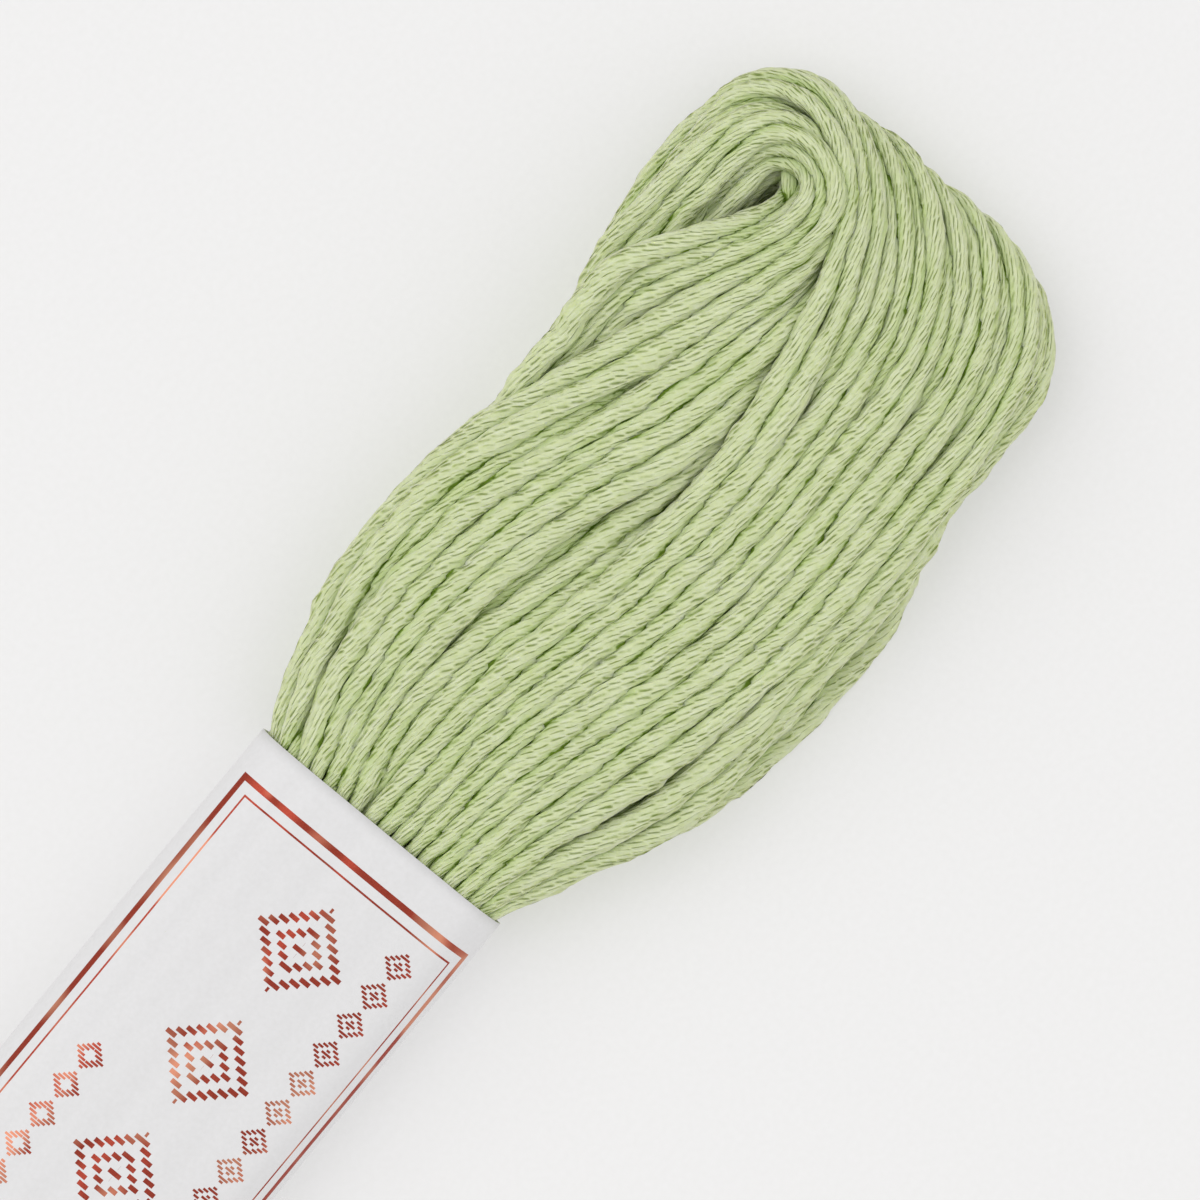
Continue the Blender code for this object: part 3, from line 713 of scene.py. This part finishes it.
def halfTurns(settled, toTail):
    # carries the strands to their end of the skein, each run on to the band's middle
    routes = []
    for points in settled:
        first, last = (points[place] * (0, 1, 1) - (bandHalf, 0, 0) for place in (0, -1))
        run = [np.linspace(first, points[0], 8)[:-1], points, np.linspace(points[-1], last, 8)[1:]]
        points = np.vstack(run)
        out = points[:, 0]
        placed = points.copy()
        if toTail:
            reach = np.maximum(out, 0) * tailReach / loopReach + np.minimum(out, 0)
            placed[:, 0] = tailMouth - reach
            placed[:, 1] += threadSpec["tailLean"] * smoothStep(reach / threadSpec["tailFan"])
        else:
            placed[:, 0] = loopMouth + out
        widths = (share * smoothStep(out / over) for share, over in threadSpec["mouthWidths"])
        routes.append((placed, threadRadius(out) * sum(widths, 1.0)))
    return routes


def bandOutline():
    # the section from the middle of the underside round by the left, as a fine closed line
    half = bandSpec["width"] / 2
    height = bandSpec["height"]
    flat = half * bandSpec["flatShare"]
    turn = np.linspace(-math.pi / 2, math.pi / 2, 61)
    side = np.stack([flat + (half - flat) * np.cos(turn), height / 2 * (1 + np.sin(turn))], 1)
    side[:, 1] -= bandSpec["dome"] * smoothStep((turn + math.pi / 2) / math.pi)
    share = np.linspace(1, 0, 41)[1:]
    top = np.stack([flat * share, height - bandSpec["dome"] * share ** 2], 1)
    left = np.vstack([np.stack([np.linspace(0, flat, 30)[:-1], np.zeros(29)], 1), side, top])
    right = left[::-1][1:] * (-1, 1)
    return np.vstack([left, right])


def wrapPaper(outline, along, around, setIn):
    # the place in section, a distance around from the middle of the top, set in from the face
    place = (along[-1] / 2 - around) % along[-1]
    ahead = (place + 0.15) % along[-1]
    y, z = (np.interp(place, along, outline[:, axis]) for axis in (0, 1))
    dy, dz = (np.interp(ahead, along, outline[:, axis]) for axis in (0, 1))
    dy, dz = dy - y, dz - z
    size = math.hypot(dy, dz) + 1e-9
    return y - dz / size * setIn, z + dy / size * setIn


def buildPaperBand():
    outline = bandOutline()
    along = lengthAlong(outline)
    length = loopMouth - tailMouth
    width = along[-1] + bandSpec["lap"]
    work = bmesh.new()
    columns, rows = bandSpec["grid"]
    bmesh.ops.create_grid(work, x_segments=columns, y_segments=rows, size=0.5)
    flatMap = work.loops.layers.uv.new("UVMap")
    start = -along[-1] / 2 - bandSpec["lapShift"] - bandSpec["lap"] / 2
    flatPlace = {}
    for vert in work.verts:
        around = start + (vert.co.x + 0.5) * width
        out = (vert.co.y - 0.5) * length  # 0 at the loop's mouth
        flatPlace[vert] = (around, out)
        # the outer end of the wrap lies over the inner one
        over = smoothStep((around - (start + bandSpec["lap"])) / bandSpec["lapLift"])
        setIn = bandSpec["thickness"] * bandSpec["lapRoom"] * (1 - over)
        # soft lengthwise ridges where strands press from inside, and slow waves along them
        ridge = sum(high * math.sin(around * perAround + out * perOut + begin)
                    for high, perAround, perOut, begin in bandSpec["ridges"])
        y, z = wrapPaper(outline, along, around, setIn)
        free = smoothStep(z / 2.0)
        y, z = wrapPaper(outline, along, around, setIn + (bandSpec["slack"] + ridge) * free)
        vert.co = Vector(((loopMouth + out) * mm, y * mm, z * mm))
    for face in work.faces:
        face.smooth = True
        for corner in face.loops:
            corner[flatMap].uv = flatPlace[corner.vert]
    mesh = bpy.data.meshes.new("paperLabelBand")
    bmesh.ops.recalc_face_normals(work, faces=work.faces)
    work.to_mesh(mesh)
    work.free()
    piece = addObject("paperLabelBand", mesh)
    solid = piece.modifiers.new("paperThickness", "SOLIDIFY")
    solid.thickness = bandSpec["thickness"] * mm
    solid.offset = -1.0
    return piece, width, length


def toLinear(hexColour):
    values = [int(hexColour[i:i + 2], 16) / 255 for i in (1, 3, 5)]
    linear = [v / 12.92 if v <= 0.04045 else ((v + 0.055) / 1.055) ** 2.4 for v in values]
    return (*linear, 1.0)


def addNode(tree, kind, inputs=(), operation=None, **settings):
    # inputs in their order, or by number or name; a node stands for its first output in use
    node = tree.nodes.new("ShaderNode" + kind)
    if operation:
        node.operation = operation
    for name, value in settings.items():
        setattr(node, name, value)
    for socket, value in inputs.items() if isinstance(inputs, dict) else enumerate(inputs):
        if isinstance(value, bpy.types.Node):
            value = next(output for output in value.outputs if output.enabled)
        if isinstance(value, bpy.types.NodeSocket):
            tree.links.new(value, node.inputs[socket])
        else:
            node.inputs[socket].default_value = value
    return node


def startMaterial(name):
    material = bpy.data.materials.new(name)
    material.use_nodes = True
    material.node_tree.nodes.clear()
    return material, material.node_tree


cottonLook = {
    "light": "#e1e8c6",
    "body": "#d0daa7",
    # the ramp's low end: painted shade in the ply grooves, where the cuts bring the height low
    "grooveShade": "#91a45b",
    "shade": "#a9c763",  # light passes from thread to thread and comes out greener
    # painted shade, deepest in the creases where threads press together
    "crease": "#688429",
    "shadeWidth": 0.8,  # mm from the next thread over which it turns greener
    "shadeShare": 0.45,  # how much greener at most
    "creaseWidth": 0.15,  # mm from the next thread over which the colour deepens
    "raggedness": 0.5,  # mm that the deep colour's edge strays
    "closing": 0.3,  # mm by which slow patches narrow the deep colour
    "lines": 14.0,  # rows of marks round the thread
    "turns": 0.9,  # marks per mm along each row
    "lean": 0.35,  # of a row's width that each mark crosses
    "cut": (0.22, 0.2),  # half a cut's width in rows, and the share of its length that tapers
    "depth": 0.65,  # height that a cut takes away, where the marks give 0.9
    "relief": 0.15,  # mm that a height of 1 stands out
    "sway": (0.7, 0.8),  # rows and marks by which the plies wander
    # how often, per mm along the thread and per row across it
    "wander": (0.45, 0.4),
    "marks": (0.9, 0.8),
    "breaks": (0.6, 0.4),
    "patches": (0.16, 0.16),
}


def makeSoftTwistCotton():
    # Soft-spun, dyed, unglazed cotton: matt, a little fuzzy, with broken grooves between its plies.
    # Shade is painted into the colour: darker in the grooves, greener near the next thread and
    # deepest where threads press together. Light soaks a little way into the loose fibres. The single
    # fibres are too fine to show, so each row of marks stands for a ply's turns.
    material, tree = startMaterial("softTwistCotton")
    uv = addNode(tree, "UVMap", uv_map="UVMap")
    along, around = addNode(tree, "SeparateXYZ", [uv]).outputs[:2]
    line = addNode(tree, "Math", (around, cottonLook["lines"]), "MULTIPLY")

    # the plies wander a little, so their grooves are neither straight nor evenly apart
    place = addNode(tree, "CombineXYZ", (along, line))
    place = addNode(tree, "Mapping", {0: place, "Scale": (*cottonLook["wander"], 1.0)})
    wander = addNode(tree, "TexNoise", {0: place, "Scale": 1.0, "Detail": 1.0},
                     noise_dimensions="2D")
    swayRows, swayTurns = cottonLook["sway"]
    bent = addNode(tree, "Math", (wander, swayRows, line), "MULTIPLY_ADD")

    # every ply turns on itself, so the groove beside it is a row of short leaning cuts
    row = addNode(tree, "Math", [bent], "ROUND")
    start = addNode(tree, "TexWhiteNoise", {"W": row}, noise_dimensions="1D")
    turn = addNode(tree, "Math", (along, cottonLook["turns"], start), "MULTIPLY_ADD")
    turn = addNode(tree, "Math", (wander, swayTurns, turn), "MULTIPLY_ADD")
    inTurn = addNode(tree, "Math", [turn], "FRACT")
    leaning = addNode(tree, "Math", (inTurn, cottonLook["lean"], bent), "MULTIPLY_ADD")
    leaning = addNode(tree, "Math", (leaning, cottonLook["lean"] / 2), "SUBTRACT")
    crown = addNode(tree, "Math", (leaning, 0.5), "PINGPONG")
    width, taper = cottonLook["cut"]
    groove = addNode(tree, "MapRange", (crown, width, 0.0), interpolation_type="SMOOTHSTEP")
    end = addNode(tree, "Math", (turn, 0.5), "PINGPONG")
    cutLength = addNode(tree, "MapRange", (end, 0.0, taper, 0.22))

    # soft light and dark marks, stretches where a groove closes up, and slow patches
    markPlace = addNode(tree, "CombineXYZ", (along, bent))
    noises = []
    for spread, detail, rough in (("marks", 2.5, 0.7), ("breaks", 0.0, 0.5), ("patches", 1.0, 0.5)):
        place = addNode(tree, "Mapping", {0: markPlace, "Scale": (*cottonLook[spread], 1.0)})
        noises.append(addNode(tree, "TexNoise", {0: place, "Scale": 1.0, "Detail": detail,
                                                 "Roughness": rough}, noise_dimensions="2D"))
    mark, breaks, slow = noises
    held = addNode(tree, "MapRange", (breaks, 0.35, 0.6, 0.55))
    cut = addNode(tree, "Math", (groove, cutLength), "MULTIPLY")
    cut = addNode(tree, "Math", (cut, held), "MULTIPLY")

    # how far out the surface stands: soft marks, cut by broken grooves; through the colour ramp it also
    # paints shade into the grooves
    stand = addNode(tree, "Math", (mark, 0.9, 0.28), "MULTIPLY_ADD")
    stand = addNode(tree, "Math", (cut, -cottonLook["depth"], stand), "MULTIPLY_ADD")
    ramp = addNode(tree, "ValToRGB", [stand])
    stops = ramp.color_ramp.elements
    stops[0].color = toLinear(cottonLook["grooveShade"])
    stops[1].color = toLinear(cottonLook["light"])
    stops.new(0.5).color = toLinear(cottonLook["body"])

    # painted shade: greener near the next thread, and deepest beside it, along a ragged edge
    gap = addNode(tree, "Attribute", attribute_name="gap").outputs["Fac"]
    closed = addNode(tree, "MapRange", (slow, 0.42, 0.6, 0.0, cottonLook["closing"]))
    apart = addNode(tree, "Math", (gap, closed), "ADD")
    ragged = addNode(tree, "Math", (mark, cottonLook["raggedness"], apart), "MULTIPLY_ADD")
    free = addNode(tree, "MapRange", (ragged, 0.25, cottonLook["creaseWidth"] + 0.25),
                   interpolation_type="SMOOTHSTEP")
    shaded = addNode(tree, "MapRange", (apart, cottonLook["shadeWidth"], 0.0, 0.0,
                                        cottonLook["shadeShare"]),
                     interpolation_type="SMOOTHSTEP")
    colour = addNode(tree, "Mix", {0: shaded, 6: ramp, 7: toLinear(cottonLook["shade"])},
                     data_type="RGBA")
    colour = addNode(tree, "Mix", {0: free, 6: toLinear(cottonLook["crease"]), 7: colour},
                     data_type="RGBA")
    bump = addNode(tree, "Bump", {"Height": stand, "Strength": 1.0,
                                  "Distance": cottonLook["relief"] * mm})
    shader = addNode(tree, "BsdfPrincipled", {
        "Base Color": colour, "Normal": bump, "Roughness": 0.88, "IOR": 1.53,
        "Specular IOR Level": 0.08, "Subsurface Weight": 0.5, "Subsurface Scale": 0.4 * mm,
        "Subsurface Radius": (1.0, 1.0, 0.6)})
    addNode(tree, "OutputMaterial", {"Surface": shader})
    return material


paperLook = {
    "paper": ("#dddcdc", "#e6e5e6"),
    "foil": ("#8e322a", "#b2523f"),
    # painted sheen: the paler copper that slow patches of the foil turn to
    "paintedSheen": "#cf8a70",
    "noises": ((0.35, 2.0), (0.09, 1.0), (3.2, 0.5)),  # mm and detail of pulp, grain and sheen
    "rough": (0.42, 0.3),  # of the paper and of the foil
}

foilPrint = {
    "end": 3.2,  # mm from the paper's ends to the middle of the frame's line
    "left": 9.66,  # mm round from the middle of the top
    "right": -11.0,
    "lines": ((0.0, 0.47), (-1.03, 0.15)),  # mm from the frame, and mm wide
    "stitchRow": 0.5,  # mm between the bars that a lozenge is built from
    "stitchShare": 0.36,
}

# rows of stitched lozenges, as mm round the band and mm from the loop's mouth
lozengeRows = [
    {"across": -1.1, "half": 3.6, "pitch": 10.0, "first": -5.0, "last": -55.0,
     "bands": [(0.0, 1), (0.14, 0), (0.36, 1), (0.55, 0), (0.78, 1)]},
    {"across": -7.1, "half": 1.15, "pitch": 2.6, "first": -5.3, "last": -54.7,
     "bands": [(0.0, 1), (0.34, 0), (0.62, 1)]},
    {"across": 5.4, "half": 1.15, "pitch": 2.6, "first": -23.5, "last": -54.7,
     "bands": [(0.0, 0), (0.45, 1)]},
]


def makeCoatedPaper(length):
    # Smooth coated label paper with a red metal foil print: bright, slightly glossy, even. The
    # foil is a deep red, with a paler copper sheen painted into its colour in slow patches.
    material, tree = startMaterial("coatedLabelPaper")
    uv = addNode(tree, "UVMap", uv_map="UVMap")
    around, out = addNode(tree, "SeparateXYZ", [uv]).outputs[:2]

    # distance from the frame's rectangle, negative inside it
    sides = []
    for value, low, high in ((around, foilPrint["right"], foilPrint["left"]),
                             (out, -length + foilPrint["end"], -foilPrint["end"])):
        away = addNode(tree, "Math", (value, (low + high) / 2), "SUBTRACT")
        away = addNode(tree, "Math", [away], "ABSOLUTE")
        sides.append(addNode(tree, "Math", (away, (high - low) / 2), "SUBTRACT"))
    frameGap = addNode(tree, "Math", sides, "MAXIMUM")
    masks = [addNode(tree, "Math", (frameGap, place, width / 2), "COMPARE")
             for place, width in foilPrint["lines"]]

    for row in lozengeRows:
        # place within one lozenge, with its length stepped in rows of stitches
        stitch = foilPrint["stitchRow"] * (1.0 if row["half"] > 2 else 0.5)
        local = addNode(tree, "Math", (out, row["first"]), "SUBTRACT")
        local = addNode(tree, "Math", (local, row["pitch"]), "FLOORED_MODULO")
        local = addNode(tree, "Math", (local, row["pitch"] / 2), "SUBTRACT")
        stepped = addNode(tree, "Math", (local, stitch / 2), "ADD")
        stepped = addNode(tree, "Math", (stepped, stitch), "SNAP")
        bar = addNode(tree, "Math", (local, stepped, stitch * foilPrint["stitchShare"]), "COMPARE")
        lengthwise = addNode(tree, "Math", [stepped], "ABSOLUTE")
        crosswise = addNode(tree, "Math", (around, row["across"]), "SUBTRACT")
        crosswise = addNode(tree, "Math", [crosswise], "ABSOLUTE")
        reach = addNode(tree, "Math", (lengthwise, crosswise), "ADD")
        reach = addNode(tree, "Math", (reach, row["half"]), "DIVIDE")
        ring = addNode(tree, "ValToRGB", [reach])
        ring.color_ramp.interpolation = "CONSTANT"
        stops = ring.color_ramp.elements
        stops[0].color = (row["bands"][0][1],) * 3 + (1,)
        stops[1].color = (0, 0, 0, 1)
        for place, value in row["bands"][1:]:
            stops.new(place).color = (value,) * 3 + (1,)
        middle, half = (row["first"] + row["last"]) / 2, abs(row["first"] - row["last"]) / 2
        within = addNode(tree, "Math", (out, middle, half), "COMPARE")
        shown = addNode(tree, "Math", (ring, bar), "MULTIPLY")
        masks.append(addNode(tree, "Math", (shown, within), "MULTIPLY"))
    foil = masks[0]
    for mask in masks[1:]:
        foil = addNode(tree, "Math", (foil, mask), "MAXIMUM")

    place = addNode(tree, "TexCoord").outputs["Object"]
    pulp, grain, paintedSheen = (
        addNode(tree, "TexNoise", {0: place, "Scale": 1 / (size * mm), "Detail": detail})
        for size, detail in paperLook["noises"])
    paintedSheen = addNode(tree, "MapRange", (paintedSheen, 0.46, 0.66))
    tones = []
    for share, tone in ((pulp, "paper"), (grain, "foil")):
        low, high = paperLook[tone]
        tones.append(addNode(tree, "Mix", {0: share, 6: toLinear(low), 7: toLinear(high)},
                             data_type="RGBA"))
    # painted sheen: slow patches of the foil's colour turn paler copper, standing in for a reflection
    tones[1] = addNode(tree, "Mix", {0: paintedSheen, 6: tones[1], 7: toLinear(paperLook["paintedSheen"])},
                       data_type="RGBA")
    colour = addNode(tree, "Mix", {0: foil, 6: tones[0], 7: tones[1]}, data_type="RGBA")
    rough = addNode(tree, "MapRange", (foil, 0.0, 1.0, *paperLook["rough"]))
    bump = addNode(tree, "Bump", {"Height": pulp, "Strength": 0.12, "Distance": 0.02 * mm})
    shader = addNode(tree, "BsdfPrincipled", {
        "Base Color": colour, "Metallic": foil, "Roughness": rough, "Normal": bump, "IOR": 1.5})
    addNode(tree, "OutputMaterial", {"Surface": shader})
    return material


def makePaleTable():
    # a thin white sheet, lit a little from behind
    material, tree = startMaterial("paleTable")
    place = addNode(tree, "TexCoord").outputs["Object"]
    grain = addNode(tree, "TexNoise", {0: place, "Scale": 1 / (0.5 * mm), "Detail": 2.0})
    tone = addNode(tree, "Mix", {0: grain, 6: toLinear("#bdbcbb"), 7: toLinear("#c3c2c2")},
                   data_type="RGBA")
    shader = addNode(tree, "BsdfPrincipled", {
        "Base Color": tone, "Roughness": 0.8, "Emission Color": (1.0, 1.0, 1.0, 1.0),
        "Emission Strength": 0.34})
    addNode(tree, "OutputMaterial", {"Surface": shader})
    return material


cotton = makeSoftTwistCotton()
ends = []
for label, seed in (("loop", 3), ("tail", 11)):
    strands, settled = settledEnd(seed)
    routes = halfTurns(settled, label == "tail")
    ends.append((strands, routes, crowdOf(routes)))
    print(label, "end settled")

pieceSpec = [
    # name, end, group or None, shown on top, places, points round, mm between rings
    ("loopTopLeft", 0, 0, True, (0, 11), 24, 0.34),
    ("loopTopMiddle", 0, 1, True, (0, 5), 24, 0.34),
    ("loopTopRight", 0, 1, True, (5, 11), 24, 0.34),
    ("loopInner", 0, None, False, (0, 11), 12, 0.6),
    ("tailTop", 1, None, True, (0, 11), 24, 0.8),
    ("tailInner", 1, None, False, (0, 11), 12, 0.9),
]
for number, (name, end, group, shown, span, pointsRound, ringStep) in enumerate(pieceSpec):
    strands, routes, crowd = ends[end]
    chosen = [index for index, strand in enumerate(strands)
              if strand["shown"] == shown and group in (None, strand["group"])
              and span[0] <= strand["place"] < span[1]]
    piece = strandPiece(name, routes, chosen, crowd, pointsRound, ringStep, seed=100 + number)
    piece.data.materials.clear()
    piece.data.materials.append(cotton)
    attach(piece, "root")
    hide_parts("thread_hank")
    print(name, len(piece.data.polygons), "faces")

band, flatWidth, bandLength = buildPaperBand()
band.data.materials.append(makeCoatedPaper(bandLength))
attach(band, "root")
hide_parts("paper_band")
print("paper band wrapped, flat", round(flatWidth, 1), "by", round(bandLength, 1), "mm")

# pale table, soft window-like light from the upper left, and a camera straight above
stageSpec = {
    "tableHalf": 3.0,  # m
    "lights": (  # name, place in m, size in m, power in W
        ("upperLeft", (-0.1, 0.55, 0.75), 1.0, 3.0),
        ("lowerRight", (0.35, -0.6, 0.6), 1.1, 1.65),
    ),
    "lightAim": (0.04, 0, 0),
    "sky": 0.72,
}
work = bmesh.new()
bmesh.ops.create_grid(work, x_segments=1, y_segments=1, size=stageSpec["tableHalf"])
table = addObject("tableTop", bpy.data.meshes.new("tableTop"))
work.to_mesh(table.data)
work.free()
table.data.materials.append(makePaleTable())

for name, place, size, power in stageSpec["lights"]:
    lamp = bpy.data.lights.new(name, "AREA")
    lamp.shape = "SQUARE"
    lamp.size = size
    lamp.energy = power
    holder = addObject(name, lamp)
    holder.location = place
    holder.rotation_mode = "QUATERNION"
    aim = Vector(stageSpec["lightAim"]) - Vector(place)
    holder.rotation_quaternion = aim.to_track_quat("-Z", "Y")

world = bpy.data.worlds.new("studioWorld")
world.use_nodes = True
background = world.node_tree.nodes["Background"]
background.inputs["Color"].default_value = (1.0, 1.0, 1.0, 1.0)
background.inputs["Strength"].default_value = stageSpec["sky"]
scene.world = world

cameraSpec = {
    "pixelsPerMm": 14.5,
    "framePixels": 1200,
    "aim": (21.8, -1.7, 8.0),  # mm out of the band, to the left, and up
    "roll": -50.44,  # degrees
    "lens": 200.0,
}
lens = bpy.data.cameras.new("overheadCamera")
lens.lens = cameraSpec["lens"]
lens.sensor_width = 36.0
lens.clip_start = 0.01
lens.clip_end = 20.0
frameWide = cameraSpec["framePixels"] / cameraSpec["pixelsPerMm"]
distance = frameWide * lens.lens / lens.sensor_width
camera = addObject("overheadCamera", lens)
aimX, aimY, aimZ = cameraSpec["aim"]
camera.location = ((loopMouth + aimX) * mm, aimY * mm, (aimZ + distance) * mm)
camera.rotation_euler = (0, 0, math.radians(cameraSpec["roll"]))
scene.camera = camera
scene.view_settings.view_transform = "Standard"
